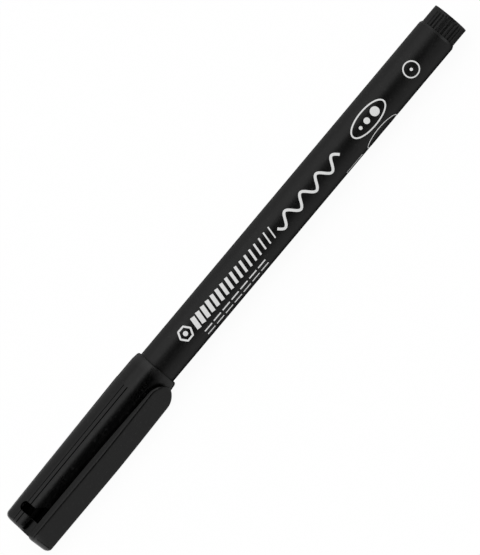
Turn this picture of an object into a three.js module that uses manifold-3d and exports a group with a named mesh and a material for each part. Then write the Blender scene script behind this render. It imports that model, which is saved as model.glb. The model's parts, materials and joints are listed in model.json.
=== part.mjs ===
// A capped permanent marker with a fine nib. Millimetres, +Z up.
// The pen lies along X, with its end plug towards +X and the nib, under the cap, towards -X.
// It lies as such a pen does on a table: on the round of its cap and on one long edge of its clip.
// The origin is the centre of the end plug's flat face, on the pen's axis.
// Each piece is drawn with the clip straight up, and the whole pen is then rolled to where it rests.
import * as THREE from "three";
import { mergeVertices } from "three/addons/utils/BufferGeometryUtils.js";
import Module from "manifold-3d";

const wasm = await Module();
wasm.setup();

// Flats round a turned piece, the same on all, so that the flats of coaxial pieces stay parallel
const roundSteps = 48;
const edgeSteps = 3;
const arcSteps = 8;
const cutMargin = 1;

// Barrel
const barrelRadius = 4.45;
const barrelRearSwell = 0.06;
const barrelWall = 0.88;
const barrelShownLength = 92.1;
const barrelInCap = 5;
const barrelRimLength = 0.6;
const barrelRimDepth = 0.28;
const barrelLipChamfer = 0.2;
const barrelRibCount = 6;
const barrelRibHeight = 0.25;
const barrelRibWidth = 0.6;
const barrelRibEndGap = 1.5;

// End plug
const plugHeadLength = 4.3;
const plugStep = 0.34;
const plugFluteCount = 32;
const plugFluteDepth = 0.2;
const plugRimLength = 0.45;
const plugRimRound = 0.3;
const plugFluteJoin = 0.15;
const plugFaceWall = 1.5;
const plugSpigotLength = 9;
const plugSpigotWall = 0.85;
const plugLeadIn = 0.3;

// Ink store: a fibre rod in a film sleeve
const filmThickness = 0.15;
const storeEndGap = 0.3;

// Nib, a porous rod that reaches from its point back into the ink store
const nibRadius = 0.7;
const nibShownLength = 2.6;
const nibPointRadius = 0.3;
const nibShoulderLength = 0.8;
const nibInStore = 7.5;
const nibRearTaper = 0.3;
const nibRearTaperLength = 0.9;

// Front section, which holds the nib: spigot, grip, sealing land and nose cone
const frontSpigotLength = 8.5;
const frontWall = 1.3;
const frontLeadIn = 0.3;
const frontFloor = 3;
const gripStep = 0.3;
const gripLength = 16;
const gripTaper = 0.6;
const gripShoulderLength = 0.8;
const landStep = 0.85;
const landLength = 6;
const coneLength = 4.2;
const noseWall = 0.45;
const noseChamfer = 0.15;
const ventGrooveWidth = 0.5;
const ventGrooveDepth = 0.25;

// Inner cap, the cup that seals on the land, with crossed fins that hold it in the cap
const innerCapWall = 0.6;
const innerCapEndWall = 0.7;
const innerCapMouthGap = 0.4;
const innerCapLeadIn = 0.25;
const innerCapTipGap = 1.2;
const innerCapTipRadius = 1.25;
const finThickness = 0.8;
const finSetback = 3;
const finGapToWindow = 0.1;
const finStemRadius = 1.6;
const airGap = 0.5;
const airChamberLength = 6.8;

// Cap shell
const capWall = 0.82;
const capEndWall = 1.2;
const capEndRound = 0.8;
const capEndCrown = 0.12;
const capEndFlatRadius = 2.3;
const capSeatExtra = 0.9;
const capCollarLength = 6.7;
const capCollarStep = 0.06;
const capLipLength = 2;
const capLipTaper = 0.3;
const capLipRound = 0.15;

// Raised bands where the halves of the cap's mould meet, one on each side of the clip
const bandAngle = 75;
const bandWidth = 0.75;
const bandHeight = 0.05;
const bandEndGap = 0.4;

// Vent slot across the cap under the clip, and the slits that free the clip's bridge
const slotFromEnd = 3.3;
const slotWidth = 2.2;
const slotPastAxis = 0.3;
const windowLength = 1.6;
const windowHalfWidth = 2.7;
const windowPastSlit = 0.55;
const slitWidth = 0.56;
const slitFromEnd = 0.5;
const ventFloorHeight = 1.3;

// Clip
const clipWidth = 6.7;
const clipThickness = 1.93;
const clipTipThickness = 0.75;
const clipOuterDrop = 0.73;
const clipOuterCurve = 20.7;
const clipUnderCurve = 20;
const clipCurvePower = 1.25;
const clipBodyGap = 0.18;
const clipNoseLength = 3.6;
const clipNoseSetback = 1.45;
const clipBeadHeight = 0.35;
const clipBeadLength = 2.4;
const clipBeadWidth = 3.2;
const clipBeadFromNose = 3.4;
const clipOverhang = 0.22;
const clipEndRound = 0.8;
const bridgeInset = 0.6;

// Clearances
const pressGap = 0.05;
const slideGap = 0.08;

// Finishes
const blackSatin = { color: 0x1d1d1e, roughness: 0.45, metalness: 0 };
const blackMatt = { color: 0x19191a, roughness: 0.5, metalness: 0 };
const inkedFibre = { color: 0x222228, roughness: 0.95, metalness: 0 };
const inkedNib = { color: 0x161618, roughness: 0.7, metalness: 0 };
const clearFilm = { color: 0xd8dadd, roughness: 0.2, metalness: 0 };

// Radii that follow from the sizes above
const barrelRearRadius = barrelRadius + barrelRearSwell;
const barrelBore = barrelRadius - barrelWall;
const plugHeadRadius = barrelRearRadius - plugStep;
const plugRootRadius = plugHeadRadius - plugFluteDepth;
const spigotRadius = barrelBore - pressGap;
const plugBore = spigotRadius - plugSpigotWall;
const storeRadius = barrelBore - barrelRibHeight - pressGap;
const coreRadius = storeRadius - filmThickness - pressGap;
const nibBore = nibRadius + pressGap;
const noseRadius = nibBore + noseWall;
const gripRadius = barrelRadius - gripStep;
const gripEndRadius = gripRadius - gripTaper;
const landRadius = gripEndRadius - landStep;
const frontBore = spigotRadius - frontWall;
const innerCapBore = landRadius + pressGap;
const innerCapRadius = innerCapBore + innerCapWall;
const capEndBore = innerCapRadius + airGap;
const capEndRadius = capEndBore + capWall;
const capMouthBore = barrelRadius + slideGap;
const capCollarRadius = capMouthBore + capWall;
const capBodyRadius = capCollarRadius + capCollarStep;
const clipUnderside = Math.max(capBodyRadius, capEndRadius) + clipBodyGap;
const clipOuter = clipUnderside + clipThickness;
const bridgeHalfWidth = clipWidth / 2 - bridgeInset;

// Places along the axis, from the plug's flat face at 0 to the cap's closed end
const barrelRear = -plugHeadLength;
const capMouth = barrelRear - barrelShownLength;
const barrelFront = capMouth - barrelInCap;
const gripEnd = barrelFront - gripLength;
const landStart = gripEnd - gripShoulderLength;
const landEnd = landStart - landLength;
const noseEnd = landEnd - coneLength;
const nibPoint = noseEnd - nibShownLength;
const frontRear = barrelFront + frontSpigotLength;
const frontFloorEnd = gripEnd + frontFloor;
const plugFront = barrelRear - plugSpigotLength;
const storeRear = plugFront - storeEndGap;
const storeFront = frontRear + storeEndGap;
const nibRear = storeFront + nibInStore;
const innerCapMouth = landStart - innerCapMouthGap;
const innerCapFloor = nibPoint - innerCapTipGap;
const innerCapEnd = innerCapFloor - innerCapEndWall;
const capFloor = innerCapEnd - airChamberLength;
const capEnd = capFloor - capEndWall;
const capSeatEnd = barrelFront - capSeatExtra;
const collarEnd = capMouth - capCollarLength;
const slotFar = capEnd + slotFromEnd;
const slotNear = slotFar + slotWidth;
const windowEnd = slotNear + windowLength;
const clipNose = capMouth - clipNoseSetback;

// Points of a rounded edge between two faces of a turned piece, from one angle to another in
// degrees, round a centre at [x, r], as long along the axis as length and as deep as depth.
function roundedEdge(x, r, length, depth, from, to) {
  const points = [];
  for (let i = 0; i <= edgeSteps; i++) {
    const angle = THREE.MathUtils.degToRad(from + ((to - from) * i) / edgeSteps);
    points.push([x + length * Math.cos(angle), r + depth * Math.sin(angle)]);
  }
  return points;
}

// Turns a profile of [place along the axis, radius] points round the X axis. The points run from
// the piece's rear over its outside to its front and back inside. A profile that doesn't start and
// end on the axis closes on itself.
function turned(profile) {
  const onAxis = profile[0][1] === 0 && profile.at(-1)[1] === 0;
  const closed = onAxis ? profile : [...profile, profile[0]];
  const points = closed.map(([x, r]) => new THREE.Vector2(r, x)).reverse();
  return new THREE.LatheGeometry(points, roundSteps).rotateZ(-Math.PI / 2);
}

// A box given by its lowest and highest corner.
function box(low, high) {
  const size = high.map((value, i) => value - low[i]);
  const centre = high.map((value, i) => (value + low[i]) / 2);
  return new THREE.BoxGeometry(...size).translate(...centre);
}

// Extrudes a shape drawn in X and Z across a width centred on the pen's axis.
function extrudedAcross(shape, width) {
  const options = { depth: width, bevelEnabled: false, curveSegments: arcSteps };
  return new THREE.ExtrudeGeometry(shape, options).rotateX(Math.PI / 2).translate(0, width / 2, 0);
}

// Extrudes a shape drawn in X and Y from one height to another.
function extrudedUp(shape, low, high) {
  const options = { depth: high - low, bevelEnabled: false, curveSegments: arcSteps };
  return new THREE.ExtrudeGeometry(shape, options).translate(0, 0, low);
}

function solidOf(geometry) {
  const plain = geometry.clone();
  plain.deleteAttribute("normal");
  plain.deleteAttribute("uv");
  const merged = mergeVertices(plain, 1e-5);
  const mesh = new wasm.Mesh({
    numProp: 3,
    vertProperties: new Float32Array(merged.attributes.position.array),
    triVerts: new Uint32Array(merged.index.array),
  });
  return new wasm.Manifold(mesh);
}

function geometryOf(solid) {
  const mesh = solid.getMesh();
  const geometry = new THREE.BufferGeometry();
  geometry.setAttribute("position", new THREE.BufferAttribute(mesh.vertProperties, 3));
  geometry.setIndex(new THREE.BufferAttribute(mesh.triVerts, 1));
  geometry.computeVertexNormals();
  return geometry;
}

function piece(name, geometry, finish) {
  const mesh = new THREE.Mesh(geometry, new THREE.MeshStandardMaterial(finish));
  mesh.name = name;
  return mesh;
}

// The barrel is a moulded tube, open at both ends. Ribs inside it hold the ink store clear of the
// wall, so that air can pass.
function makeBarrel() {
  const rimStart = barrelRear - barrelRimLength;
  const rimCentre = barrelRearRadius - barrelRimDepth;
  let barrel = solidOf(
    turned([
      [barrelRear, barrelBore],
      ...roundedEdge(rimStart, rimCentre, barrelRimLength, barrelRimDepth, 0, 90),
      [capMouth, barrelRadius],
      [barrelFront + barrelLipChamfer, barrelRadius],
      [barrelFront, barrelRadius - barrelLipChamfer],
      [barrelFront, barrelBore],
    ]),
  );
  const ribTop = barrelBore - barrelRibHeight;
  const rib = solidOf(
    box(
      [storeFront + barrelRibEndGap, -barrelRibWidth / 2, ribTop],
      [storeRear - barrelRibEndGap, barrelRibWidth / 2, barrelBore + barrelWall / 2],
    ),
  );
  for (let i = 0; i < barrelRibCount; i++) {
    barrel = barrel.add(rib.rotate([(360 * i) / barrelRibCount, 0, 0]));
  }
  return piece("barrel", geometryOf(barrel), blackSatin);
}

// The end plug has a fluted head with a plain rim and a flat face. Its hollow spigot is pressed
// into the barrel.
function makeEndPlug() {
  const fluteEnd = -plugRimLength;
  const headFront = barrelRear + pressGap;
  const core = turned([
    [0, 0],
    ...roundedEdge(-plugRimRound, plugHeadRadius - plugRimRound, plugRimRound, plugRimRound, 0, 90),
    [fluteEnd, plugHeadRadius],
    [fluteEnd, plugRootRadius],
    [headFront, plugRootRadius],
    [headFront, spigotRadius],
    [plugFront + plugLeadIn, spigotRadius],
    [plugFront, spigotRadius - plugLeadIn],
    [plugFront, plugBore],
    [-plugFaceWall, plugBore],
    [-plugFaceWall, 0],
  ]);
  const points = [];
  const pointsPerFlute = 4;
  for (let i = 0; i < plugFluteCount * pointsPerFlute; i++) {
    const angle = (2 * Math.PI * i) / (plugFluteCount * pointsPerFlute);
    const radius = i % pointsPerFlute < pointsPerFlute / 2 ? plugHeadRadius : plugRootRadius;
    points.push(new THREE.Vector2(radius * Math.cos(angle), radius * Math.sin(angle)));
  }
  const outline = new THREE.Shape(points);
  const hole = new THREE.Path();
  hole.absarc(0, 0, (plugRootRadius + plugBore) / 2, 0, 2 * Math.PI);
  outline.holes.push(hole);
  const flutes = extrudedUp(outline, headFront, fluteEnd + plugFluteJoin).rotateY(Math.PI / 2);
  const plug = solidOf(core).add(solidOf(flutes));
  return piece("end_plug", geometryOf(plug), blackMatt);
}

// The ink store is a bonded fibre rod. A hole in its front takes the rear of the nib.
function makeStoreCore() {
  const core = turned([
    [storeRear, 0],
    [storeRear, coreRadius],
    [storeFront, coreRadius],
    [storeFront, nibBore],
    [nibRear + pressGap, nibBore],
    [nibRear + pressGap, 0],
  ]);
  return piece("reservoir_core", core, inkedFibre);
}

// A film sleeve keeps the ink in the fibre rod.
function makeStoreFilm() {
  const film = turned([
    [storeRear, storeRadius - filmThickness],
    [storeRear, storeRadius],
    [storeFront, storeRadius],
    [storeFront, storeRadius - filmThickness],
  ]);
  return piece("reservoir_film", film, clearFilm);
}

function makeNib() {
  const nib = turned([
    [nibRear, 0],
    [nibRear, nibRadius - nibRearTaper],
    [nibRear - nibRearTaperLength, nibRadius],
    [noseEnd - nibShoulderLength, nibRadius],
    ...roundedEdge(nibPoint + nibPointRadius, 0, nibPointRadius, nibPointRadius, 90, 180).slice(0, -1),
    [nibPoint, 0],
  ]);
  return piece("nib", nib, inkedNib);
}

// The front section is pressed into the barrel and grips the nib. A groove on each side of the nib
// lets air back to the ink store.
function makeFrontSection() {
  const seat = barrelFront - pressGap;
  const body = turned([
    [frontRear, frontBore],
    [frontRear, spigotRadius - frontLeadIn],
    [frontRear - frontLeadIn, spigotRadius],
    [seat, spigotRadius],
    [seat, gripRadius],
    [gripEnd, gripEndRadius],
    [landStart, landRadius],
    [landEnd, landRadius],
    [noseEnd + noseChamfer, noseRadius],
    [noseEnd, noseRadius - noseChamfer],
    [noseEnd, nibBore],
    [frontFloorEnd, nibBore],
    [frontFloorEnd, frontBore],
  ]);
  const reach = nibBore + ventGrooveDepth;
  const grooves = box(
    [noseEnd - cutMargin, -ventGrooveWidth / 2, -reach],
    [frontFloorEnd + cutMargin, ventGrooveWidth / 2, reach],
  );
  const section = solidOf(body).subtract(solidOf(grooves));
  return piece("front_section", geometryOf(section), blackMatt);
}

// The bore of the cap shell narrows evenly from its seat on the barrel to its floor.
function capBoreAt(x) {
  const share = (x - capSeatEnd) / (capFloor - capSeatEnd);
  return capMouthBore + (capEndBore - capMouthBore) * share;
}

// The inner cap closes round the nib on the land. Its crossed fins stand in the cap shell's bore, so
// that air can pass round the cup. Past the vent slot they go on as a slim stem to the shell's floor.
function makeInnerCap() {
  const finStart = innerCapMouth - finSetback;
  const finEnd = windowEnd + finGapToWindow;
  const stemEnd = capFloor + pressGap;
  const reach = turned([
    [finStart, 0],
    [finStart, capBoreAt(finStart) - pressGap],
    [finEnd, capBoreAt(finEnd) - pressGap],
    [finEnd, finStemRadius],
    [stemEnd, finStemRadius],
    [stemEnd, 0],
  ]);
  const flat = solidOf(
    box([stemEnd, -capMouthBore, -finThickness / 2], [finStart, capMouthBore, finThickness / 2]),
  );
  const fins = flat.rotate([45, 0, 0]).add(flat.rotate([-45, 0, 0])).intersect(solidOf(reach));
  const cup = turned([
    [innerCapMouth, 0],
    [innerCapMouth, innerCapRadius],
    [innerCapEnd, innerCapRadius],
    [innerCapEnd, 0],
  ]);
  const room = turned([
    [innerCapMouth + cutMargin, 0],
    [innerCapMouth + cutMargin, innerCapBore + innerCapLeadIn],
    [innerCapMouth, innerCapBore + innerCapLeadIn],
    [innerCapMouth - innerCapLeadIn, innerCapBore],
    [landEnd, innerCapBore],
    [innerCapFloor, innerCapTipRadius],
    [innerCapFloor, 0],
  ]);
  const innerCap = solidOf(cup).add(fins).subtract(solidOf(room));
  return piece("inner_cap", geometryOf(innerCap), blackMatt);
}

// Heights of the clip's outer face and underside over the axis. Both curve as they near the nose.
function clipOuterAt(x) {
  const share = Math.max(0, (x - clipNose) / clipOuterCurve + 1);
  return clipOuter - clipOuterDrop * share ** clipCurvePower;
}

function clipUndersideAt(x) {
  const rise = clipThickness - clipTipThickness - clipOuterDrop;
  const share = Math.max(0, (x - clipNose) / clipUnderCurve + 1);
  return clipUnderside + rise * share ** clipCurvePower;
}

// A low round bead under the clip's nose, which grips the edge of a pocket.
function makeClipBead() {
  const middle = clipNose - clipBeadFromNose;
  const under = clipUndersideAt(middle);
  const profile = new THREE.Shape();
  profile.absellipse(middle, under, clipBeadLength / 2, clipBeadHeight, Math.PI, 2 * Math.PI);
  profile.lineTo(middle, under + clipTipThickness / 2);
  return solidOf(extrudedAcross(profile, clipBeadWidth));
}

// The clip is moulded in one with the cap. It bends at its root, beside the vent slot.
function makeClip() {
  const steps = 24;
  const places = Array.from({ length: steps + 1 }, (_, i) => slotFar + ((clipNose - slotFar) * i) / steps);
  const side = new THREE.Shape([
    ...places.map((x) => new THREE.Vector2(x, clipOuterAt(x))),
    ...places.reverse().map((x) => new THREE.Vector2(x, clipUndersideAt(x))),
  ]);
  const noseStart = clipNose - clipNoseLength;
  const plan = new THREE.Shape();
  plan.moveTo(slotFar - cutMargin, -clipWidth / 2);
  plan.lineTo(noseStart, -clipWidth / 2);
  plan.absellipse(noseStart, 0, clipNoseLength, clipWidth / 2, -Math.PI / 2, Math.PI / 2);
  plan.lineTo(slotFar - cutMargin, clipWidth / 2);
  const blade = solidOf(extrudedAcross(side, clipWidth + cutMargin));
  const clip = blade
    .intersect(solidOf(extrudedUp(plan, 0, clipOuter + cutMargin)))
    .add(makeClipBead());
  return piece("clip", geometryOf(clip), blackSatin);
}

// The clip's fixed root is a head as wide as the blade on a narrower bridge from the cap's end.
function makeClipRoot() {
  const end = capEnd - clipOverhang;
  const side = new THREE.Shape();
  side.moveTo(slotFar, clipUnderside);
  side.lineTo(slotFar, clipOuter);
  side.absarc(end + clipEndRound, clipOuter - clipEndRound, clipEndRound, Math.PI / 2, Math.PI);
  side.lineTo(end, clipUnderside);
  const head = solidOf(extrudedAcross(side, clipWidth));
  const bridge = box(
    [capEnd, -bridgeHalfWidth, ventFloorHeight],
    [slotFar, bridgeHalfWidth, clipUnderside + clipThickness / 2],
  );
  return head.add(solidOf(bridge));
}

// What the vent takes out of the cap shell: a round-ended slot across the shell, a window under the
// clip that narrows away from the slot, and a slit on each side of the clip's bridge.
function makeVentCutter() {
  const reach = Math.max(capBodyRadius, capEndRadius) + cutMargin;
  const slotCentre = (slotFar + slotNear) / 2;
  const slot = new THREE.Shape();
  slot.moveTo(slotFar, reach);
  slot.lineTo(slotFar, slotWidth / 2 - slotPastAxis);
  slot.absarc(slotCentre, slotWidth / 2 - slotPastAxis, slotWidth / 2, Math.PI, 2 * Math.PI);
  slot.lineTo(slotNear, reach);
  const slitOuter = bridgeHalfWidth + slitWidth;
  const windowOuter = slitOuter + windowPastSlit;
  const window = new THREE.Shape();
  window.moveTo(slotNear, -windowOuter);
  window.lineTo(windowEnd, -windowHalfWidth);
  window.lineTo(windowEnd, windowHalfWidth);
  window.lineTo(slotNear, windowOuter);
  window.lineTo(slotFar + cutMargin, windowOuter);
  window.lineTo(slotFar + cutMargin, -windowOuter);
  let cutter = solidOf(extrudedAcross(slot, 2 * reach));
  cutter = cutter.add(solidOf(extrudedUp(window, ventFloorHeight, reach)));
  for (const side of [-1, 1]) {
    const faces = [side * bridgeHalfWidth, side * slitOuter].sort((a, b) => a - b);
    const slit = box(
      [capEnd + slitFromEnd, faces[0], ventFloorHeight],
      [slotFar + cutMargin, faces[1], reach],
    );
    cutter = cutter.add(solidOf(slit));
  }
  return cutter;
}

// The outside of the cap shell as a full body, or grown by the height of its bands.
function makeCapOutside(growth) {
  const bodyEnd = capEnd + capEndRound;
  const roundCentre = capEndRadius - capEndRound + growth;
  return turned([
    [capMouth, 0],
    [capMouth, capCollarRadius - capLipTaper - capLipRound + growth],
    [capMouth - capLipRound, capCollarRadius - capLipTaper + growth],
    [capMouth - capLipLength, capCollarRadius + growth],
    [collarEnd, capCollarRadius + growth],
    [collarEnd - capCollarStep, capBodyRadius + growth],
    ...roundedEdge(bodyEnd, roundCentre, capEndRound - capEndCrown, capEndRound, 90, 180),
    [capEnd, capEndFlatRadius],
    [capEnd, 0],
  ]);
}

function makeBands() {
  const strip = box(
    [capEnd + bandEndGap, -bandWidth / 2, capEndBore],
    [collarEnd - bandEndGap, bandWidth / 2, capBodyRadius + cutMargin],
  );
  const band = solidOf(makeCapOutside(bandHeight)).intersect(solidOf(strip));
  return band.rotate([bandAngle, 0, 0]).add(band.rotate([-bandAngle, 0, 0]));
}

// The cap shell is a tapered cup with a short collar at its mouth, its bands, vent and clip root.
function makeCapShell() {
  const bore = turned([
    [capMouth + cutMargin, 0],
    [capMouth + cutMargin, capMouthBore],
    [capSeatEnd, capMouthBore],
    [capFloor, capEndBore],
    [capFloor, 0],
  ]);
  const shell = solidOf(makeCapOutside(0))
    .add(makeBands())
    .subtract(makeVentCutter())
    .add(makeClipRoot())
    .subtract(solidOf(bore));
  return piece("cap_shell", geometryOf(shell), blackSatin);
}

// Lying down, the pen touches the table with a band of its cap and with a long edge of its clip.
const restHeight = capBodyRadius + bandHeight;
const clipEdgeRadius = Math.hypot(clipOuter, clipWidth / 2);
const clipFromDown = Math.acos(restHeight / clipEdgeRadius) + Math.atan(clipWidth / 2 / clipOuter);

const cap = new THREE.Group();
cap.add(makeCapShell(), makeInnerCap(), makeClip());

const pen = new THREE.Group();
pen.add(makeBarrel(), makeEndPlug(), makeStoreCore(), makeStoreFilm(), makeNib(), makeFrontSection());
pen.add(cap);
pen.rotation.x = Math.PI - clipFromDown;

export default pen;
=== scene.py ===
import json
import math

import bmesh
import bpy
from mathutils import Matrix, Vector


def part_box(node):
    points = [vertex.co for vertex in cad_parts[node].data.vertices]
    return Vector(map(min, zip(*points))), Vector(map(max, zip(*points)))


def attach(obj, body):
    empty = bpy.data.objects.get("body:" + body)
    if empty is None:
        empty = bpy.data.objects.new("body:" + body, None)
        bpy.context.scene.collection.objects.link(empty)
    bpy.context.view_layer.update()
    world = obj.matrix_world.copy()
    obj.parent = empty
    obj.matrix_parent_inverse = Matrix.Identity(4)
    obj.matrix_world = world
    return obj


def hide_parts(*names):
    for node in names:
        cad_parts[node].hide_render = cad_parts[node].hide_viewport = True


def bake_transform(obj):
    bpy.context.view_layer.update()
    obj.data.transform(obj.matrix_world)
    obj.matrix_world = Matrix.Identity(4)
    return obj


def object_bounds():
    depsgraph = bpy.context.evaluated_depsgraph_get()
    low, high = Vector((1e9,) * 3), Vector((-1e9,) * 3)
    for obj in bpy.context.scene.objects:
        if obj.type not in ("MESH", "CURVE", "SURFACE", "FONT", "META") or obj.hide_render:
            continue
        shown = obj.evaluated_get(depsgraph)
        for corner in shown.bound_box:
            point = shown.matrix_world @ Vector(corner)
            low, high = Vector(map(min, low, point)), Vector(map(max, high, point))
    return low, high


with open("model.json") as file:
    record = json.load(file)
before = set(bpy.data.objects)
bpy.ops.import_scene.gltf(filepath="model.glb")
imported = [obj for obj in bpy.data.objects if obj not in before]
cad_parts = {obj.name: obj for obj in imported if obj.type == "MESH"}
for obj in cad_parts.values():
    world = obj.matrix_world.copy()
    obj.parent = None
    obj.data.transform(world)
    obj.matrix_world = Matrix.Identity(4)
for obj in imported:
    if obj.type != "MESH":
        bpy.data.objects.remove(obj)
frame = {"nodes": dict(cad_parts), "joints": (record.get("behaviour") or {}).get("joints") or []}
cad_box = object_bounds()

# Barrel: one long tube of black polypropylene, injection moulded, with a fine satin grain. Its rear
# rim is bevelled down to the end plug, and its front end stands inside the cap.
# The pen lies along X. Each piece is drawn in mm with the clip straight up, then turned as it rests.
MM = 0.001
ALONG = Vector((1, 0, 0))
clip_hinge = next(joint for joint in frame["joints"] if joint["name"] == "clip_flex")
SIDE = -Vector(clip_hinge["axis"])
CLIP_WAY = ALONG.cross(SIDE)
as_it_rests = MM * Matrix((ALONG, SIDE, CLIP_WAY)).transposed()

barrel_radius = 4.45
barrel_rear_radius = 4.51
barrel_bore = 3.57
barrel_rim_length = 0.6
barrel_rim_depth = 0.28
barrel_corner_round = 0.2
smooth_steps = 144
nearly_zero = 1e-6
polypropylene_ior = 1.49
# A colour Mix node takes its two colours in at these sockets, and its result comes out of this one.
MIX_FIRST, MIX_SECOND, MIX_RESULT = 6, 7, 2


def ends_of(node):
    """The places along the pen, in mm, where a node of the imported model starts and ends."""
    low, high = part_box(node)
    return low.x / MM, high.x / MM


def rounded(corners, steps=5):
    """An outline through (along, across, round) corners, each eased by an arc of its round."""
    outline = []
    for i, (along, across, fillet) in enumerate(corners):
        corner = Vector((along, across))
        if not fillet:
            outline.append(corner)
            continue
        before = (Vector(corners[i - 1][:2]) - corner).normalized()
        after = (Vector(corners[(i + 1) % len(corners)][:2]) - corner).normalized()
        half = before.angle(after) / 2
        centre = corner + (before + after).normalized() * fillet / math.sin(half)
        start = (corner + before * fillet / math.tan(half) - centre).normalized()
        end = (corner + after * fillet / math.tan(half) - centre).normalized()
        outline += [centre + fillet * start.slerp(end, k / steps) for k in range(steps + 1)]
    return outline


def evenly_round(steps):
    """Angles all the way round the pen."""
    return [2 * math.pi * i / steps for i in range(steps)]


def turned(outline, angles, lift=lambda along, radius, angle: 0):
    """Points and faces of an outline turned round the pen's axis, with a lift off its surface.

    An outline that starts and ends on the axis is closed there; another closes on itself.
    """
    points = []
    for along, radius in outline:
        for angle in angles:
            reach = radius + lift(along, radius, angle)
            points.append((along, reach * math.sin(angle), reach * math.cos(angle)))
    count, rings = len(angles), len(outline)
    spans = rings - 1 if max(outline[0][1], outline[-1][1]) < nearly_zero else rings
    faces = [
        (i * count + j, i * count + (j + 1) % count, k * count + (j + 1) % count, k * count + j)
        for i, k in ((i, (i + 1) % rings) for i in range(spans))
        for j in range(count)
    ]
    return points, faces


def add_piece(name, points, faces, material, sharp=35, weld=1e-4):
    """Makes one piece from points in mm. Edges steeper than sharp degrees stay crisp.

    Points closer together than weld become one.
    """
    mesh = bpy.data.meshes.new(name)
    mesh.from_pydata([as_it_rests @ Vector(point) for point in points], [], faces)
    shape = bmesh.new()
    shape.from_mesh(mesh)
    bmesh.ops.remove_doubles(shape, verts=shape.verts, dist=weld * MM)
    bmesh.ops.recalc_face_normals(shape, faces=shape.faces)
    shape.to_mesh(mesh)
    shape.free()
    mesh.shade_smooth()
    mesh.set_sharp_from_angle(angle=math.radians(sharp))
    if material:
        mesh.materials.append(material)
    piece = bpy.data.objects.new(name, mesh)
    bpy.context.scene.collection.objects.link(piece)
    return piece


def linear(hex_colour):
    """The linear colour of an sRGB hex value."""
    shares = [int(hex_colour[i : i + 2], 16) / 255 for i in (1, 3, 5)]
    return [s / 12.92 if s <= 0.04045 else ((s + 0.055) / 1.055) ** 2.4 for s in shares] + [1]


def add_node(tree, kind, sockets=(), **settings):
    """Adds a node. Each socket gets a value, or the output that feeds it."""
    node = tree.nodes.new(kind)
    for name, value in settings.items():
        setattr(node, name, value)
    for name, value in dict(sockets).items():
        if isinstance(value, bpy.types.NodeSocket):
            tree.links.new(value, node.inputs[name])
        else:
            node.inputs[name].default_value = value
    return node


def new_material(name):
    """An empty node material, and its tree."""
    material = bpy.data.materials.new(name)
    material.use_nodes = True
    material.node_tree.nodes.clear()
    return material, material.node_tree


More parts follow.
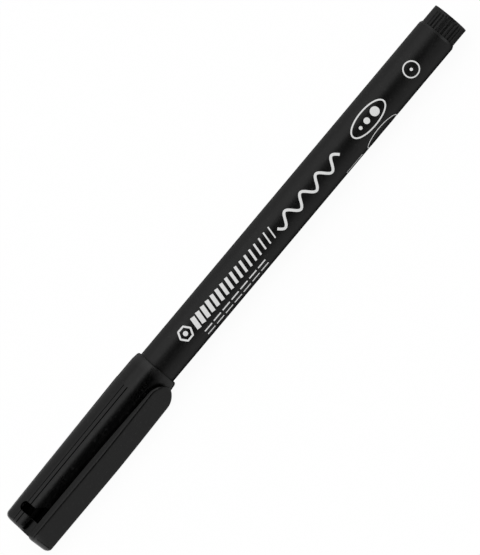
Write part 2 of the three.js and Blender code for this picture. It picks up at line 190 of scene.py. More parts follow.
def moulded_polypropylene(name, colour, handled_colour, roughness, gloss=0.5, highlight_band=None):
    """Black polypropylene, moulded in a spark-eroded tool, which gives a soft and even satin.

    Handling leaves it a little paler and smoother in patches, with specks of dust. The real grain is
    about 0.05 mm, too fine to show, so it is drawn coarser. The walls sink a few microns along the
    piece as they cool. A piece may get a paler grey band, a painted highlight, between three places
    along it: where the band starts, where it is strongest and where it ends.
    """
    patch, grain, speck, sink = 5, 0.35, 0.6, 9
    grain_relief, sink_relief = 0.006, 0.025
    sink_stretch = 0.3
    patch_low, patch_high = 0.3, 0.7
    speck_low, speck_high = 0.6, 0.74
    handled_shine = 0.04
    # The dust specks are the plastic's own. The paler grey band is a painted highlight.
    dust_colour, highlight_colour = "#181817", "#1b1b1b"
    material, tree = new_material(name)
    place = add_node(tree, "ShaderNodeTexCoord").outputs["Object"]
    patches = add_node(
        tree, "ShaderNodeTexNoise", {"Vector": place, "Scale": 1 / (patch * MM), "Detail": 4}
    ).outputs["Fac"]
    grains = add_node(
        tree, "ShaderNodeTexNoise", {"Vector": place, "Scale": 1 / (grain * MM), "Detail": 2}
    ).outputs["Fac"]
    stretched = add_node(tree, "ShaderNodeMapping", {"Vector": place, "Scale": (sink_stretch, 1, 1)})
    sinks = add_node(
        tree,
        "ShaderNodeTexNoise",
        {"Vector": stretched.outputs["Vector"], "Scale": 1 / (sink * MM), "Detail": 1},
    ).outputs["Fac"]
    clean = add_node(
        tree,
        "ShaderNodeMix",
        {"Factor": patches, MIX_FIRST: linear(colour), MIX_SECOND: linear(handled_colour)},
        data_type="RGBA",
    ).outputs[MIX_RESULT]
    specks = add_node(
        tree, "ShaderNodeTexNoise", {"Vector": place, "Scale": 1 / (speck * MM), "Detail": 3}
    ).outputs["Fac"]
    dusty = add_node(
        tree,
        "ShaderNodeMapRange",
        {"Value": specks, "From Min": speck_low, "From Max": speck_high},
    ).outputs["Result"]
    base = add_node(
        tree,
        "ShaderNodeMix",
        {"Factor": dusty, MIX_FIRST: clean, MIX_SECOND: linear(dust_colour)},
        data_type="RGBA",
    ).outputs[MIX_RESULT]
    # The band along the piece paints a highlight in a paler grey.
    if highlight_band:
        along = add_node(tree, "ShaderNodeSeparateXYZ", {"Vector": place}).outputs["X"]
        start, middle, end = (stop * MM for stop in highlight_band)
        rise, fall = (
            add_node(
                tree,
                "ShaderNodeMapRange",
                {"Value": along, "From Min": bare, "From Max": middle},
            ).outputs["Result"]
            for bare in (start, end)
        )
        highlight_share = add_node(
            tree, "ShaderNodeMath", {0: rise, 1: fall}, operation="MULTIPLY"
        ).outputs["Value"]
        base = add_node(
            tree,
            "ShaderNodeMix",
            {"Factor": highlight_share, MIX_FIRST: base, MIX_SECOND: linear(highlight_colour)},
            data_type="RGBA",
        ).outputs[MIX_RESULT]
    shine = add_node(
        tree,
        "ShaderNodeMapRange",
        {
            "Value": patches,
            "From Min": patch_low,
            "From Max": patch_high,
            "To Min": roughness + handled_shine,
            "To Max": roughness - handled_shine,
        },
    ).outputs["Result"]
    sunk = add_node(
        tree, "ShaderNodeBump", {"Height": sinks, "Distance": sink_relief * MM, "Strength": 1}
    )
    grained = add_node(
        tree,
        "ShaderNodeBump",
        {"Height": grains, "Distance": grain_relief * MM, "Strength": 1, "Normal": sunk.outputs[0]},
    )
    plastic = add_node(
        tree,
        "ShaderNodeBsdfPrincipled",
        {
            "Base Color": base,
            "Roughness": shine,
            "IOR": polypropylene_ior,
            "Specular IOR Level": gloss,
            "Normal": grained.outputs[0],
        },
    )
    add_node(tree, "ShaderNodeOutputMaterial", {"Surface": plastic.outputs[0]})
    return material


barrel_front, barrel_rear = ends_of("barrel")
cap_mouth = ends_of("cap_shell")[1]
barrel_outline = rounded([
    (barrel_rear, barrel_bore, 0.08),
    (barrel_rear, barrel_rear_radius - barrel_rim_depth, 0.06),
    (barrel_rear - barrel_rim_length, barrel_rear_radius, barrel_corner_round),
    (cap_mouth, barrel_radius, 0),
    (barrel_front, barrel_radius, barrel_corner_round),
    (barrel_front, barrel_bore, 0.1),
])
barrel_plastic = moulded_polypropylene(
    "moulded_polypropylene_barrel", "#060606", "#080808", roughness=0.44
)
barrel = add_piece(
    "barrel_tube", *turned(barrel_outline, evenly_round(smooth_steps)), barrel_plastic
)
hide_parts("barrel")
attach(barrel, "pen")

# End plug: a moulded polypropylene stopper, pressed into the barrel by its hollow spigot. Its head
# has thirty-two shallow flutes, which run out under a plain rim round the flat end face.
plug_front, plug_face = ends_of("end_plug")
plug_head_radius = 4.17
plug_spigot_radius = 3.52
plug_bore = 2.67
plug_rim_round = 0.16
plug_face_wall = 1.5
plug_rim_length = 0.42
plug_ring_spacing = 0.2
press_gap = 0.05
flute_count = 32
flute_width = 0.42
flute_depth = 0.18
flute_end = plug_face - plug_rim_length
flute_run_out = 0.5
samples_per_flute = 10


def flute_lift(along, radius, angle):
    """How far the plug's head sinks into a flute: a round-bottomed groove that fades to its end."""
    if radius < (plug_spigot_radius + plug_head_radius) / 2 or along > flute_end:
        return 0
    pitch = 2 * math.pi / flute_count
    off_middle = abs((angle + pitch / 2) % pitch - pitch / 2) * plug_head_radius
    if off_middle >= flute_width / 2:
        return 0
    fade = min(1, (flute_end - along) / flute_run_out)
    return -flute_depth * math.sin(fade * math.pi / 2) * math.cos(off_middle / flute_width * math.pi)


def with_rings(outline, spacing, start, end):
    """The outline with its stretches between two places along the pen split into short ones."""
    split = []
    for here, after in zip(outline, outline[1:] + outline[:1]):
        split.append(here)
        inside = all(end - spacing / 2 < x < start + spacing / 2 for x in (here[0], after[0]))
        steps = math.ceil((Vector(after) - Vector(here)).length / spacing) if inside else 1
        split += [Vector(here).lerp(Vector(after), i / steps) for i in range(1, steps)]
    return split


head_front = barrel_rear + press_gap
plug_outline = rounded([
    (plug_face, 0, 0),
    (plug_face, plug_head_radius, plug_rim_round),
    (head_front, plug_head_radius, 0),
    (head_front, plug_spigot_radius, 0),
    (plug_front, plug_spigot_radius, 0.3),
    (plug_front, plug_bore, 0),
    (plug_face - plug_face_wall, plug_bore, 0),
    (plug_face - plug_face_wall, 0, 0),
])
plug_outline = with_rings(
    plug_outline, plug_ring_spacing, plug_face - plug_rim_round, head_front
)
plug_plastic = moulded_polypropylene(
    "moulded_polypropylene_plug", "#040404", "#060606", roughness=0.42
)
plug = add_piece(
    "end_plug_fluted",
    *turned(plug_outline, evenly_round(flute_count * samples_per_flute), flute_lift),
    plug_plastic,
)
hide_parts("end_plug")
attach(plug, "pen")

# Ink store: a bonded polyester fibre rod, soaked with black ink, in a clear polypropylene film
# sleeve. It fills the barrel's bore between the plug and the front section, and never shows.
fibre = 0.06
fibre_stretch = 0.02
store_fibre, tree = new_material("bonded_polyester_fibre_inked")
place = add_node(tree, "ShaderNodeTexCoord").outputs["Object"]
drawn_out = add_node(tree, "ShaderNodeMapping", {"Vector": place, "Scale": (fibre_stretch, 1, 1)})
strands = add_node(
    tree,
    "ShaderNodeTexNoise",
    {"Vector": drawn_out.outputs["Vector"], "Scale": 1 / (fibre * MM), "Detail": 3},
).outputs["Fac"]
strand_colour = add_node(
    tree,
    "ShaderNodeMix",
    {"Factor": strands, MIX_FIRST: linear("#101014"), MIX_SECOND: linear("#2a2a30")},
    data_type="RGBA",
).outputs[MIX_RESULT]
strand_bump = add_node(
    tree, "ShaderNodeBump", {"Height": strands, "Distance": fibre * MM, "Strength": 0.6}
)
fibres = add_node(
    tree,
    "ShaderNodeBsdfPrincipled",
    {"Base Color": strand_colour, "Roughness": 0.9, "Normal": strand_bump.outputs[0]},
)
add_node(tree, "ShaderNodeOutputMaterial", {"Surface": fibres.outputs[0]})

crease = 2
crease_depth = 0.02
store_film, tree = new_material("clear_polypropylene_film")
place = add_node(tree, "ShaderNodeTexCoord").outputs["Object"]
creases = add_node(
    tree, "ShaderNodeTexNoise", {"Vector": place, "Scale": 1 / (crease * MM), "Detail": 2}
).outputs["Fac"]
crease_bump = add_node(
    tree, "ShaderNodeBump", {"Height": creases, "Distance": crease_depth * MM, "Strength": 0.5}
)
film = add_node(
    tree,
    "ShaderNodeBsdfPrincipled",
    {
        "Base Color": linear("#eef0f2"),
        "Roughness": 0.12,
        "IOR": polypropylene_ior,
        "Transmission Weight": 1,
        "Normal": crease_bump.outputs[0],
    },
)
add_node(tree, "ShaderNodeOutputMaterial", {"Surface": film.outputs[0]})
for node, material in (("reservoir_core", store_fibre), ("reservoir_film", store_film)):
    frame["nodes"][node].data.materials.clear()
    frame["nodes"][node].data.materials.append(material)

# Front section: a moulded polypropylene holder for the nib, pressed into the barrel. It has a tapered
# grip, a land that the inner cap seals on, and a nose cone, drawn plain without its side vent grooves.
front_end, front_rear = ends_of("front_section")
front_bore = 2.22
front_spigot_radius = 3.52
grip_radius = 4.15
grip_end_radius = 3.55
land_radius = 2.7
nose_radius = 1.2
nib_bore = 0.75
grip_length = 16
grip_shoulder = 0.8
land_length = 6
front_floor_length = 3
grip_end = barrel_front - grip_length
land_start = grip_end - grip_shoulder
land_end = land_start - land_length
front_floor_end = grip_end + front_floor_length
front_outline = rounded([
    (front_rear, front_bore, 0.1),
    (front_rear, front_spigot_radius, 0.3),
    (barrel_front - press_gap, front_spigot_radius, 0),
    (barrel_front - press_gap, grip_radius, 0.15),
    (grip_end, grip_end_radius, 0.3),
    (land_start, land_radius, 0.2),
    (land_end, land_radius, 0.5),
    (front_end, nose_radius, 0.15),
    (front_end, nib_bore, 0.05),
    (front_floor_end, nib_bore, 0.05),
    (front_floor_end, front_bore, 0.2),
])
front_plastic = moulded_polypropylene(
    "moulded_polypropylene_front", "#040404", "#060606", roughness=0.4
)
front = add_piece(
    "front_section_turned", *turned(front_outline, evenly_round(smooth_steps)), front_plastic
)
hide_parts("front_section")
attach(front, "pen")

# Nib: a rod of bonded acrylic fibre, ground to a round point and held in the front section. It is
# black with the ink that it draws from the store.
nib_point, nib_rear = ends_of("nib")
nib_radius = 0.7
nib_point_radius = 0.3
nib_shoulder = 0.8
nib_rear_radius = 0.4
nib_rear_taper = 0.9
nib_steps = 48
nib_point_steps = 8
pore = 0.05
pore_depth = 0.02
pore_stretch = 0.1
nib_outline = [(nib_rear, 0)] + rounded([
    (nib_rear, nib_rear_radius, 0),
    (nib_rear - nib_rear_taper, nib_radius, 0.3),
    (front_end - nib_shoulder, nib_radius, 0.25),
    (nib_point + nib_point_radius, nib_point_radius, 0),
])
nib_outline += [
    (nib_point + nib_point_radius * (1 - math.sin(a)), nib_point_radius * math.cos(a))
    for a in (math.pi / 2 * k / nib_point_steps for k in range(1, nib_point_steps + 1))
]
nib_fibre, tree = new_material("ground_acrylic_fibre_inked")
place = add_node(tree, "ShaderNodeTexCoord").outputs["Object"]
drawn_out = add_node(tree, "ShaderNodeMapping", {"Vector": place, "Scale": (pore_stretch, 1, 1)})
pores = add_node(
    tree,
    "ShaderNodeTexNoise",
    {"Vector": drawn_out.outputs["Vector"], "Scale": 1 / (pore * MM), "Detail": 3},
).outputs["Fac"]
wet_shine = add_node(
    tree, "ShaderNodeMapRange", {"Value": pores, "To Min": 0.45, "To Max": 0.75}
).outputs["Result"]
pore_bump = add_node(
    tree, "ShaderNodeBump", {"Height": pores, "Distance": pore_depth * MM, "Strength": 0.8}
)
nib_surface = add_node(
    tree,
    "ShaderNodeBsdfPrincipled",
    {"Base Color": linear("#131316"), "Roughness": wet_shine, "Normal": pore_bump.outputs[0]},
)
add_node(tree, "ShaderNodeOutputMaterial", {"Surface": nib_surface.outputs[0]})
nib = add_piece("nib_rod", *turned(nib_outline, evenly_round(nib_steps)), nib_fibre)
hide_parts("nib")
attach(nib, "pen")

# Inner cap: a thin moulded cup that seals round the nib, held in the cap shell by crossed fins. It
# shows only through the vent slot and in the mouth of the pulled cap. It and the shell's bore have
# the blasted finish of the tool's cores, which is matt and looks quite black.
inner_cap_plastic = moulded_polypropylene(
    "moulded_polypropylene_inside", "#020202", "#030303", roughness=0.6, gloss=0.15
)
frame["nodes"]["inner_cap"].data.materials.clear()
frame["nodes"]["inner_cap"].data.materials.append(inner_cap_plastic)

# Cap shell: a long tapered cup of the barrel's polypropylene, moulded with a collar at its mouth.
# A low band on each side, between two fine lines, marks where the mould's halves meet. The vent
# slot crosses it near the closed end, under the clip, whose bridge stands free between two slits.
slot_far = ends_of("clip")[0]
slot_length = 2.2
slot_near = slot_far + slot_length
slot_past_axis = 0.3
slot_from_cap_end = 3.3
cap_end = slot_far - slot_from_cap_end
cap_mouth_bore = 4.53
cap_end_bore = 3.85
cap_end_radius = 4.67
cap_end_round = 1.15
cap_end_dome = 0.12
cap_end_flat_radius = 2.3
cap_end_wall = 1.2
cap_body_radius = 5.41
cap_collar_radius = 5.35
cap_collar_length = 6.7
cap_collar_end = cap_mouth - cap_collar_length
cap_collar_ease = 0.3
cap_lip_length = 2
cap_lip_ease = 3
cap_lip_taper = 0.15
cap_lip_round_length = 0.75
cap_lip_round_depth = 0.48
cap_seat_past_barrel = 0.9
cap_seat_end = barrel_front - cap_seat_past_barrel
cap_floor = cap_end + cap_end_wall
cap_ring_spacing = 1.2
cap_sharp = 30
mouth_ease = 0.15
mouth_ease_length = 0.2
# Where the painted highlight round the mouth starts, is strongest and ends.
highlight_start, highlight_middle, highlight_end = cap_mouth - 2.4, cap_mouth - 0.55, cap_mouth - 0.1
band_angle = math.radians(75)
band_radius = 5
band_width = 0.75
band_height = 0.05
band_line_width = 0.21
band_line_depth = 0.17
band_start = cap_collar_end - 0.4
band_end = cap_end + 0.5
band_step = 0.05
band_edge = 0.005
least_turn = 0.012
clip_underside = 5.59
bridge_half_width = 2.75
bridge_from_end = 0.02
bridge_into_clip = 0.4
slit_width = 0.56
slit_from_end = 0.5
window_length = 1.6
window_half_width = 2.7
window_past_slit = 0.55
window_round = 0.4
vent_floor = 1.3
cut_margin = 1
cut_clearance = 0.01


def band_lift(along, radius, angle):
    """The height of the mould bands off the cap, and the depth of the fine lines beside them."""
    if radius < cap_mouth_bore + band_step or not band_end < along < band_start:
        return 0
    off_middle = abs(abs((angle + math.pi) % (2 * math.pi) - math.pi) - band_angle) * band_radius
    if off_middle < band_width / 2:
        return band_height
    off_line = abs(off_middle - (band_width + band_line_width) / 2)
    return -band_line_depth * max(0, 1 - 2 * off_line / band_line_width)


def angles_with_bands():
    """Angles round the cap, closer together at the steps of its bands."""
    close = []
    for side in (1, -1):
        for step in (-band_edge, band_edge, band_line_width / 2, band_line_width):
            off = (band_width / 2 + step) / band_radius
            close += [side * band_angle + off, side * band_angle - off]
    close = [angle % (2 * math.pi) for angle in close]
    even = evenly_round(smooth_steps)
    return sorted(close + [a for a in even if min(abs(a - c) for c in close) > least_turn])


def prism(outline, low, high, across):
    """Points and faces of an outline in (along, height) carried over from low to high.

    It is carried across the pen, or with across False, the outline is (along, across) and it goes up.
    """
    count = len(outline)
    order = (lambda x, y, d: (x, d, y)) if across else (lambda x, y, d: (x, y, d))
    points = [order(x, y, depth) for depth in (low, high) for x, y in outline]
    faces = [(i, (i + 1) % count, count + (i + 1) % count, count + i) for i in range(count)]
    return points, faces + [tuple(range(count)), tuple(range(count, 2 * count))]


def combine(piece, operation, *tool, slot=0, weld=1e-3, least_edge=1e-4):
    """Joins a solid to a piece, or cuts it away. New faces get the piece's material of that slot.

    Slivers that the cut leaves, closer together than weld or least_edge in mm, are cleaned away.
    """
    cutter = add_piece("cutter", *tool, None)
    for material in piece.data.materials:
        cutter.data.materials.append(material)
    for face in cutter.data.polygons:
        face.material_index = slot
    step = piece.modifiers.new("combine", "BOOLEAN")
    step.operation = operation
    step.solver = "EXACT"
    step.object = cutter
    finished = bpy.data.meshes.new_from_object(
        piece.evaluated_get(bpy.context.evaluated_depsgraph_get())
    )
    piece.modifiers.clear()
    piece.data = finished
    bpy.data.objects.remove(cutter)
    shape = bmesh.new()
    shape.from_mesh(finished)
    bmesh.ops.remove_doubles(shape, verts=shape.verts, dist=weld * MM)
    bmesh.ops.dissolve_degenerate(shape, edges=shape.edges, dist=least_edge * MM)
    shape.to_mesh(finished)
    shape.free()


def spaced(start, end, spacing):
    """Places from start to end, both among them, no further apart than the spacing."""
    steps = math.ceil(abs(end - start) / spacing)
    return [start + (end - start) * i / steps for i in range(steps + 1)]


def bend_of(ellipse, start, end, steps=12):
    """An ellipse's arc, given as (centre along, centre across, half length, half height)."""
    x, y, a, b = ellipse
    turns = [math.radians(start + (end - start) * i / steps) for i in range(steps + 1)]
    return [(x + a * math.cos(t), y + b * math.sin(t)) for t in turns]


body_outline = rounded([
    (cap_collar_end, cap_body_radius, 0),
    (cap_end + cap_end_dome, cap_end_radius, cap_end_round),
    (cap_end, cap_end_flat_radius, 0.3),
    (cap_end, 0, 0),
])[1:]
taper = (cap_end_radius - cap_body_radius) / (cap_end - cap_collar_end)
last_ring = body_outline[0][0] + 2 * band_step
body_places = spaced(cap_collar_end - cap_collar_ease, last_ring, cap_ring_spacing)
body_places = sorted(body_places + [band_start + band_step, band_start - band_step], reverse=True)
cap_outline = [(cap_mouth, 0)]
cap_outline += bend_of((
    cap_mouth - cap_lip_round_length,
    cap_collar_radius - cap_lip_taper - cap_lip_round_depth,
    cap_lip_round_length,
    cap_lip_round_depth,
), 0, 90)
cap_outline += rounded([
    cap_outline[-1] + (0,),
    (cap_mouth - cap_lip_length, cap_collar_radius, cap_lip_ease),
    (cap_collar_end, cap_collar_radius, 0),
    (cap_collar_end - cap_collar_ease, cap_body_radius, 0),
])[1:]
cap_outline += [(x, cap_body_radius + taper * (x - cap_collar_end)) for x in body_places[1:]]
cap_outline += body_outline
# A paler grey band round the mouth is a painted highlight on the lip's round.
# The cap and clip are painted blacker than the barrel's same plastic. This is painted shade, which
# deepens the shadow the clip casts on the cap.
shade_darkened_cap_plastic = moulded_polypropylene(
    "moulded_polypropylene_cap",
    "#010101",
    "#030303",
    roughness=0.29,
    highlight_band=(highlight_start, highlight_middle, highlight_end),
)
cap_shell = add_piece(
    "cap_moulding", *turned(cap_outline, angles_with_bands(), band_lift), shade_darkened_cap_plastic
)
reach = cap_body_radius + cut_margin
slot_middle = (slot_far + slot_near) / 2
slot_round = (slot_near - slot_far) / 2
slot_outline = [(slot_far, reach)]
slot_outline += bend_of((slot_middle, slot_round - slot_past_axis, slot_round, slot_round), 180, 360)
slot_outline += [(slot_near, reach)]
combine(cap_shell, "DIFFERENCE", *prism(slot_outline, -reach, reach, True))
slit_outer = bridge_half_width + slit_width
window_outer = slit_outer + window_past_slit
window = rounded([
    (slot_near, -window_outer, window_round),
    (slot_near + window_length, -window_half_width, window_round),
    (slot_near + window_length, window_half_width, window_round),
    (slot_near, window_outer, window_round),
    (slot_far + cut_margin, window_outer, 0),
    (slot_far + cut_margin, -window_outer, 0),
])
combine(cap_shell, "DIFFERENCE", *prism(window, vent_floor, reach, False))
for side in (1, -1):
    slit = [
        (cap_end + slit_from_end, side * bridge_half_width),
        (slot_far + cut_margin, side * bridge_half_width),
        (slot_far + cut_margin, side * slit_outer),
        (cap_end + slit_from_end, side * slit_outer),
    ]
    combine(cap_shell, "DIFFERENCE", *prism(slit, vent_floor, reach, False))
bridge = [
    (cap_end + bridge_from_end, vent_floor),
    (cap_end + bridge_from_end, clip_underside + bridge_into_clip),
    (slot_far, clip_underside + bridge_into_clip),
    (slot_far, vent_floor),
]
combine(cap_shell, "UNION", *prism(bridge, -bridge_half_width, bridge_half_width, True))
bore_outline = [
    (cap_mouth + cut_margin, 0),
    (cap_mouth + cut_margin, cap_mouth_bore + mouth_ease),
    (cap_mouth + cut_clearance, cap_mouth_bore + mouth_ease),
    (cap_mouth - mouth_ease_length, cap_mouth_bore),
    (cap_seat_end, cap_mouth_bore),
    (cap_floor, cap_end_bore),
    (cap_floor, 0),
]
cap_shell.data.materials.append(inner_cap_plastic)
combine(cap_shell, "DIFFERENCE", *turned(bore_outline, evenly_round(smooth_steps)), slot=1)
cap_shell.data.shade_smooth()
cap_shell.data.set_sharp_from_angle(angle=math.radians(cap_sharp))
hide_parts("cap_shell")
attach(cap_shell, "cap")

# Clip: a flat springy blade, moulded in one with the cap, on a bridge at the cap's closed end. It
# thins and curves in towards its round nose, where a low bead under it holds on to the pocket.
clip_nose = ends_of("clip")[1]
clip_past_cap = 0.22
clip_end = cap_end - clip_past_cap
clip_half_width = 3.35
clip_outer = 7.52
clip_tip_thickness = 0.75
clip_outer_drop = 0.73
clip_outer_curve = 20.7
clip_under_curve = 20
clip_curve_power = 1.25
clip_nose_length = 3.6
clip_nose_power = 1.35
clip_edge_round = 0.45
clip_end_round = 1.15
clip_under_round = 0.3
clip_corner_round = 1.2
clip_corner_steps = 8
clip_side_spacing = 0.6
clip_nose_steps = 20
clip_round_steps = 6
clip_face_steps = 6
clip_least_side = 0.1
bead_from_nose = 3.4
bead_place = clip_nose - bead_from_nose
bead_length = 2.4
bead_width = 3.2
bead_height = 0.35


def clip_outer_at(along):
    """The height of the clip's outer face, which curves in towards the nose."""
    share = max(0, (along - clip_nose) / clip_outer_curve + 1)
    return clip_outer - clip_outer_drop * share**clip_curve_power


def clip_under_at(along, across):
    """The height of the clip's underside, with its bead."""
    thinned = clip_outer - clip_underside - clip_tip_thickness - clip_outer_drop
    share = max(0, (along - clip_nose) / clip_under_curve + 1)
    off_bead = math.hypot((along - bead_place) / bead_length * 2, across / bead_width * 2)
    bead = bead_height * math.cos(off_bead * math.pi / 2) if off_bead < 1 else 0
    return clip_underside + thinned * share**clip_curve_power - bead


def clip_edge():
    """The plan of one edge of the clip from its end to its nose: place, way out and edge round."""
    edge = []
    corner_along = clip_end + clip_corner_round
    corner_across = clip_half_width - clip_corner_round
    for k in range(clip_corner_steps + 1):
        t = math.pi / 2 * k / clip_corner_steps
        way = Vector((-math.cos(t), math.sin(t)))
        spot = Vector((corner_along, corner_across)) + way * clip_corner_round
        edge.append((spot, way, clip_end_round + (clip_edge_round - clip_end_round) * math.sin(t) ** 2))
    nose_start = clip_nose - clip_nose_length
    for along in spaced(corner_along, nose_start, clip_side_spacing)[1:]:
        edge.append((Vector((along, clip_half_width)), Vector((0, 1)), clip_edge_round))
    for k in range(1, clip_nose_steps + 1):
        t = math.pi / 2 * k / clip_nose_steps
        side = max(nearly_zero, math.cos(t))
        across = clip_half_width * side**clip_nose_power
        steep = clip_nose_power * across * math.sin(t) / side
        spot = Vector((nose_start + clip_nose_length * math.sin(t), across))
        way = Vector((steep, clip_nose_length * side)).normalized()
        edge.append((spot, way, clip_edge_round))
    return edge


def clip_section(spot, way, edge_round):
    """The points from the middle of the outer face over one edge to the middle of the underside."""
    thickness = clip_outer_at(spot.x) - clip_under_at(spot.x, spot.y)
    ease = min(1, thickness / (edge_round + clip_under_round + clip_least_side))
    edge_round, under_round = edge_round * ease, clip_under_round * ease
    side_points = []
    for k in range(clip_round_steps + 1):
        t = math.pi / 2 * k / clip_round_steps
        inset = spot - way * edge_round * (1 - math.sin(t))
        side_points.append((inset, clip_outer_at(inset.x) - edge_round * (1 - math.cos(t))))
    for k in range(clip_round_steps, -1, -1):
        t = math.pi / 2 * k / clip_round_steps
        inset = spot - way * under_round * (1 - math.sin(t))
        height = clip_under_at(inset.x, inset.y) + under_round * (1 - math.cos(t))
        side_points.append((inset, height))
    points = []
    top = side_points[0][0]
    for k in range(clip_face_steps):
        across = max(0, top.y) * k / clip_face_steps
        points.append((top.x, across, clip_outer_at(top.x)))
    for inset, height in side_points:
        points.append((inset.x, max(0, inset.y), height))
    under = side_points[-1][0]
    for k in range(clip_face_steps - 1, -1, -1):
        across = max(0, under.y) * k / clip_face_steps
        points.append((under.x, across, clip_under_at(under.x, across)))
    return points


def clip_shape():
    """Points and faces of the whole clip: both halves, and the end face between them."""
    sections = [clip_section(*stop) for stop in clip_edge()]
    count = len(sections[0])
    end_columns = []
    for share in (1 - i / clip_face_steps for i in range(clip_face_steps + 1)):
        end_columns.append([(x, y * share, z) for x, y, z in sections[0]])
    points, faces = [], []
    for mirror in (1, -1):
        for rows in (sections, end_columns):
            start = len(points)
            points += [(x, y * mirror, z) for row in rows for x, y, z in row]
            first = clip_face_steps if rows is end_columns else 0
            last = count - 1 - first
            for i in range(len(rows) - 1):
                for j in range(first, last):
                    corner = start + i * count + j
                    faces.append((corner, corner + 1, corner + count + 1, corner + count))
    return points, faces


# The clip shares the cap's plastic, painted blacker as shade.
clip = add_piece("clip_blade", *clip_shape(), shade_darkened_cap_plastic)
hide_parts("clip")
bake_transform(clip)

# Print: silver-grey ink, pad printed in one pass along the side of the barrel that is read. Each
# mark is a thin film of ink that follows the barrel's round. The marks are plain and say nothing.
ink_film = 0.02
ink_sink = 0.03
ink_spacing = 0.3
ink_mottle = 0.25
dot_steps = 16
dot_least_width = 0.001
ring_steps = 72
print_from_clip = math.radians(46)


def barrel_radius_at(along):
    """The barrel swells evenly from the cap's mouth to its rear rim."""
    swell = (barrel_rear_radius - barrel_radius) / (barrel_rear - barrel_rim_length - cap_mouth)
    return barrel_radius + swell * (along - cap_mouth)


def film_over(rows, closed=False):
    """A closed film over rows of (along, around) places in mm. All rows are of the same length."""
    across = len(rows[0])
    points = []
    for lift in (ink_film, -ink_sink):
        for along, around in (place for row in rows for place in row):
            angle = print_from_clip - around / barrel_radius
            radius = barrel_radius_at(along) + lift
            points.append((along, radius * math.sin(angle), radius * math.cos(angle)))
    under = len(rows) * across
    steps = [(i * across, (i + 1) % len(rows) * across) for i in range(len(rows) - (not closed))]
    faces = []
    for here, after in steps:
        for j in range(across - 1):
            face = (here + j, here + j + 1, after + j + 1, after + j)
            faces += [face, tuple(corner + under for corner in face)]
        for j in (0, across - 1):
            faces.append((here + j, after + j, after + j + under, here + j + under))
    if not closed:
        for row in (0, under - across):
            for j in range(row, row + across - 1):
                faces.append((j, j + 1, j + 1 + under, j + under))
    return points, faces


def ink_line(points, widths, closed=False):
    """A film along (along, around) places in mm, as wide at each as its width."""
    across = math.ceil(max(widths) / ink_spacing)
    rows = []
    for i, place in enumerate(points):
        before = points[i - 1] if closed or i else place
        after = points[(i + 1) % len(points)] if closed or i < len(points) - 1 else place
        way = (Vector(after) - Vector(before)).normalized()
        off = Vector((-way.y, way.x)) * widths[i] / 2
        rows.append([tuple(Vector(place) + off * (1 - 2 * j / across)) for j in range(across + 1)])
    return film_over(rows, closed)


def ink_dot(along, around, radius):
    """A round dot, as a line that widens and narrows."""
    turns = [math.pi * i / dot_steps for i in range(dot_steps + 1)]
    places = [(along - radius * math.cos(t), around) for t in turns]
    return ink_line(places, [2 * radius * math.sin(t) + dot_least_width for t in turns])


def ink_ring(along, around, half_length, half_height, width):
    """A round or oval ring."""
    turns = evenly_round(ring_steps)
    places = [(along + half_length * math.cos(t), around + half_height * math.sin(t)) for t in turns]
    return ink_line(places, [width] * len(places), closed=True)


def straight(start, end, width):
    """A line of one width between two (along, around) places."""
    a, b = Vector(start), Vector(end)
    steps = math.ceil((b - a).length / ink_spacing)
    return ink_line([tuple(a.lerp(b, i / steps)) for i in range(steps + 1)], [width] * (steps + 1))


def printed(name, *marks):
    """One piece of print from several films."""
    points, faces = [], []
    for mark_points, mark_faces in marks:
        faces += [tuple(len(points) + i for i in face) for face in mark_faces]
        points += mark_points
    piece = add_piece(name, points, faces, print_ink)
    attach(piece, "pen")


# The ink is a satin film that is even but for a faint mottle, where the pad laid it on thinner.
print_ink, tree = new_material("pad_printed_ink_silver_grey")
place = add_node(tree, "ShaderNodeTexCoord").outputs["Object"]
mottle = add_node(
    tree, "ShaderNodeTexNoise", {"Vector": place, "Scale": 1 / (ink_mottle * MM), "Detail": 3}
).outputs["Fac"]
ink_colour = add_node(
    tree,
    "ShaderNodeMix",
    {"Factor": mottle, MIX_FIRST: linear("#d2d3d3"), MIX_SECOND: linear("#e2e2e1")},
    data_type="RGBA",
).outputs[MIX_RESULT]
ink_surface = add_node(
    tree, "ShaderNodeBsdfPrincipled", {"Base Color": ink_colour, "Roughness": 0.5}
)
add_node(tree, "ShaderNodeOutputMaterial", {"Surface": ink_surface.outputs[0]})

emblem_along, emblem_around, emblem_radius = -87, -0.05, 1.6
emblem_width, emblem_dot = 0.42, 0.55
side_count, side_steps = 6, 6
emblem_corners = [
    (emblem_along + emblem_radius * math.cos(t), emblem_around + emblem_radius * math.sin(t))
    for t in evenly_round(side_count)
]
emblem_sides = []
for a, b in zip(emblem_corners, emblem_corners[1:] + emblem_corners[:1]):
    emblem_sides += [tuple(Vector(a).lerp(Vector(b), i / side_steps)) for i in range(side_steps)]
printed(
    "print_emblem",
    ink_line(emblem_sides, [emblem_width] * len(emblem_sides), closed=True),
    ink_dot(emblem_along, emblem_around, emblem_dot),
)

bar_start, bar_pitch, bar_count = -84.2, 1.55, 17
bar_low, bar_high, bar_slant = 1.5, -1.2, 0.7
bar_width, bar_thinning = 1.1, 0.8
bars = []
for i in range(bar_count):
    along = bar_start + bar_pitch * i
    width = bar_width - bar_thinning * i / (bar_count - 1)
    bars.append(straight((along, bar_low), (along + bar_slant, bar_high), width))
printed("print_bars", *bars)

dash_start, dash_pitch, dash_count = -84, 2.9, 7
dash_length, dash_width = 2.3, 0.32
dash_around, dash_row_pitch, dash_rows = 3, 1.3, 2
dashes = []
for row in range(dash_rows):
    around = dash_around + dash_row_pitch * row
    for i in range(dash_count):
        along = dash_start + dash_pitch * i
        dashes.append(straight((along, around), (along + dash_length, around), dash_width))
printed("print_dashes", *dashes)

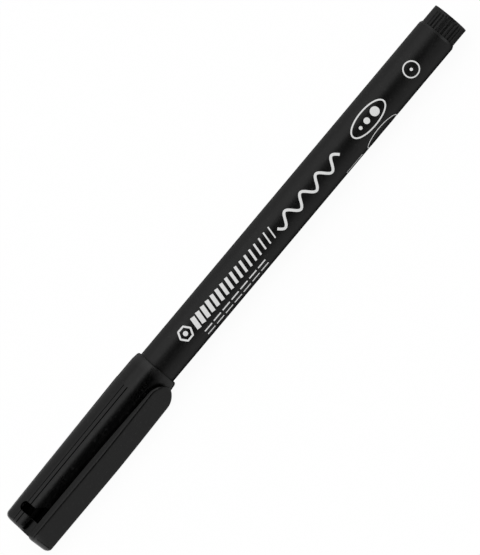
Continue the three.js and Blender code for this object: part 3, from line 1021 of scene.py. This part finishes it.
wave_start, wave_length, wave_around = -57.7, 20.4, 0.57
wave_height, wave_count, wave_width, wave_steps = 1.2, 4, 0.6, 120
wave = []
for share in (i / wave_steps for i in range(wave_steps + 1)):
    rise = wave_height * math.sin(2 * math.pi * wave_count * share)
    wave.append((wave_start + wave_length * share, wave_around + rise))
printed("print_line_sample", ink_line(wave, [wave_width] * len(wave)))

badge_along, badge_around = -27.7, 0.37
badge_half_length, badge_half_height, badge_line = 5, 2.1, 0.34
badge_dots = ((-2.5, 0.4), (-0.5, 0.7), (2.1, 1.05))
printed(
    "print_badge",
    ink_ring(badge_along, badge_around, badge_half_length, badge_half_height, badge_line),
    *(ink_dot(badge_along + off, badge_around, radius) for off, radius in badge_dots),
)

lower_around, lower_half_length, lower_half_height = 5.6, 4.6, 1.9
rule_start, rule_end, rule_around = -39.2, -34.1, 5.4
lower_line = 0.2
printed(
    "print_lower_marks",
    ink_ring(badge_along, lower_around, lower_half_length, lower_half_height, lower_line),
    straight((rule_start, rule_around), (rule_end, rule_around), lower_line),
)

ring_along, ring_around, ring_radius = -13.9, 0.6, 1.75
ring_width, ring_dot = 0.3, 0.35
printed(
    "print_line_width_mark",
    ink_ring(ring_along, ring_around, ring_radius, ring_radius, ring_width),
    ink_dot(ring_along, ring_around, ring_dot),
)

# Studio: the pen lies on a pale floor in even white light from all round. Nine unlit cards, which
# only the plastic's gloss sees, are what it mirrors: a dark front, a pale top and back, the table in
# bands that darken under the pen, and a grey end past the plug.
floor_height = cad_box[0].z
floor_half = 3
floor_glow = 0.95
card_turn = math.radians(3)
card_above_table = 0.02
card_distance = 0.5
far_card_ends = (-0.5, 0.5)
near_card_ends = (-0.0698, 0.071)
end_card_place = 0.45
end_card_height = 0.2
world = bpy.data.worlds.new("white_studio")
bpy.context.scene.world = world
world.use_nodes = True
world.node_tree.nodes.clear()
sky = add_node(world.node_tree, "ShaderNodeBackground", {"Color": (1, 1, 1, 1), "Strength": 1})
add_node(world.node_tree, "ShaderNodeOutputWorld", {"Surface": sky.outputs[0]})

# The floor shines white for the eye and the gloss, and keeps a share of paint that takes the shadow.
floor_paint, tree = new_material("pale_floor")
paper = add_node(tree, "ShaderNodeBsdfDiffuse", {"Color": linear("#fafafa")})
glow = add_node(tree, "ShaderNodeEmission", {"Color": (1, 1, 1, 1), "Strength": 1})
path = add_node(tree, "ShaderNodeLightPath").outputs
mirrored = add_node(
    tree,
    "ShaderNodeMath",
    {0: path["Is Glossy Ray"], 1: path["Is Transmission Ray"]},
    operation="MAXIMUM",
)
seen = add_node(
    tree,
    "ShaderNodeMath",
    {0: path["Is Camera Ray"], 1: mirrored.outputs[0]},
    operation="MAXIMUM",
)
share = add_node(
    tree, "ShaderNodeMath", {0: seen.outputs[0], 1: floor_glow}, operation="MULTIPLY"
)
blend = add_node(
    tree, "ShaderNodeMixShader", {0: share.outputs[0], 1: paper.outputs[0], 2: glow.outputs[0]}
)
add_node(tree, "ShaderNodeOutputMaterial", {"Surface": blend.outputs[0]})
floor_mesh = bpy.data.meshes.new("floor")
floor_mesh.from_pydata(
    [(x * floor_half, y * floor_half, floor_height) for x, y in ((-1, -1), (1, -1), (1, 1), (-1, 1))],
    [],
    [(0, 1, 2, 3)],
)
floor_mesh.materials.append(floor_paint)
floor = bpy.data.objects.new("floor", floor_mesh)
bpy.context.scene.collection.objects.link(floor)


def add_card(name, colour, near_row, far_row):
    """A card that only the gloss sees, between two rows of points in metres."""
    card_paint, tree = new_material(name)
    light = add_node(tree, "ShaderNodeEmission", {"Color": linear(colour), "Strength": 1})
    add_node(tree, "ShaderNodeOutputMaterial", {"Surface": light.outputs[0]})
    count = len(near_row)
    faces = [(i, i + 1, count + i + 1, count + i) for i in range(count - 1)]
    card_mesh = bpy.data.meshes.new(name)
    card_mesh.from_pydata(near_row + far_row, [], faces)
    card_mesh.materials.append(card_paint)
    card = bpy.data.objects.new(name, card_mesh)
    card.visible_camera = card.visible_diffuse = card.visible_shadow = False
    bpy.context.scene.collection.objects.link(card)


def add_card_along(name, colour, ends, outline):
    """A card from end to end along the pen, with an outline of (y, z) across it."""
    rows = [[(pen_middle + end, y, z) for y, z in outline] for end in ends]
    add_card(name, colour, *rows)


pen_middle = (cad_box[0].x + cad_box[1].x) / 2
for name, colour, lowest, highest in (
    ("black_card_in_front", "#000000", 0, 50),
    ("pale_card_overhead", "#dadada", 66, 105),
    ("grey_card_behind", "#a8a8a8", 105, 142),
    ("dark_card_behind", "#929292", 142, 179),
):
    turns = spaced(math.radians(lowest), math.radians(highest), card_turn)
    arc = [(-card_distance * math.cos(turn), card_distance * math.sin(turn)) for turn in turns]
    add_card_along(name, colour, far_card_ends, arc)
table = floor_height + card_above_table * MM
for name, colour, start, end in (
    ("dark_card_on_table", "#6c6c6c", -card_distance, -0.022),
    ("grey_card_by_pen", "#aaaaaa", -0.022, -0.0048),
    ("shade_beside_pen", "#8a8a8a", -0.0048, -0.003),
    ("shade_under_pen", "#1c1c1c", -0.003, card_distance),
):
    add_card_along(name, colour, near_card_ends, [(start, table), (end, table)])
end_card = [(pen_middle + end_card_place, y, floor_height) for y in (-card_distance, card_distance)]
end_card_top = [(x, y, z + end_card_height) for x, y, z in end_card]
add_card("grey_card_past_plug", "#5c5c5c", end_card, end_card_top)

# Camera: a long lens, square to the pen, which sees the clip turned 46 degrees from the middle of
# its view. The pen runs up to the right at 50 degrees, and fills the frame from corner to corner.
photo_height = 117.12
clip_from_view = 46
pen_slope = math.radians(50)
middle_along, middle_right, middle_up = -70.35, 0.72, -0.92
view_elevation = math.radians(clip_from_view) + math.atan2(CLIP_WAY.z, -CLIP_WAY.y)
to_camera = Vector((0, -math.cos(view_elevation), math.sin(view_elevation)))
upright = Vector((0, math.sin(view_elevation), math.cos(view_elevation)))
right = math.cos(pen_slope) * ALONG - math.sin(pen_slope) * upright
up = math.sin(pen_slope) * ALONG + math.cos(pen_slope) * upright
camera_data = bpy.data.cameras.new("camera")
camera_data.lens = 400
camera_data.sensor_width = 36
distance = photo_height * camera_data.lens / camera_data.sensor_width * MM
target = (ALONG * middle_along + right * middle_right + up * middle_up) * MM
camera = bpy.data.objects.new("camera", camera_data)
camera.matrix_world = Matrix.Translation(target + to_camera * distance) @ (
    Matrix((right, up, to_camera)).transposed().to_4x4()
)
bpy.context.scene.collection.objects.link(camera)
bpy.context.scene.camera = camera
bpy.context.scene.view_settings.view_transform = "Standard"
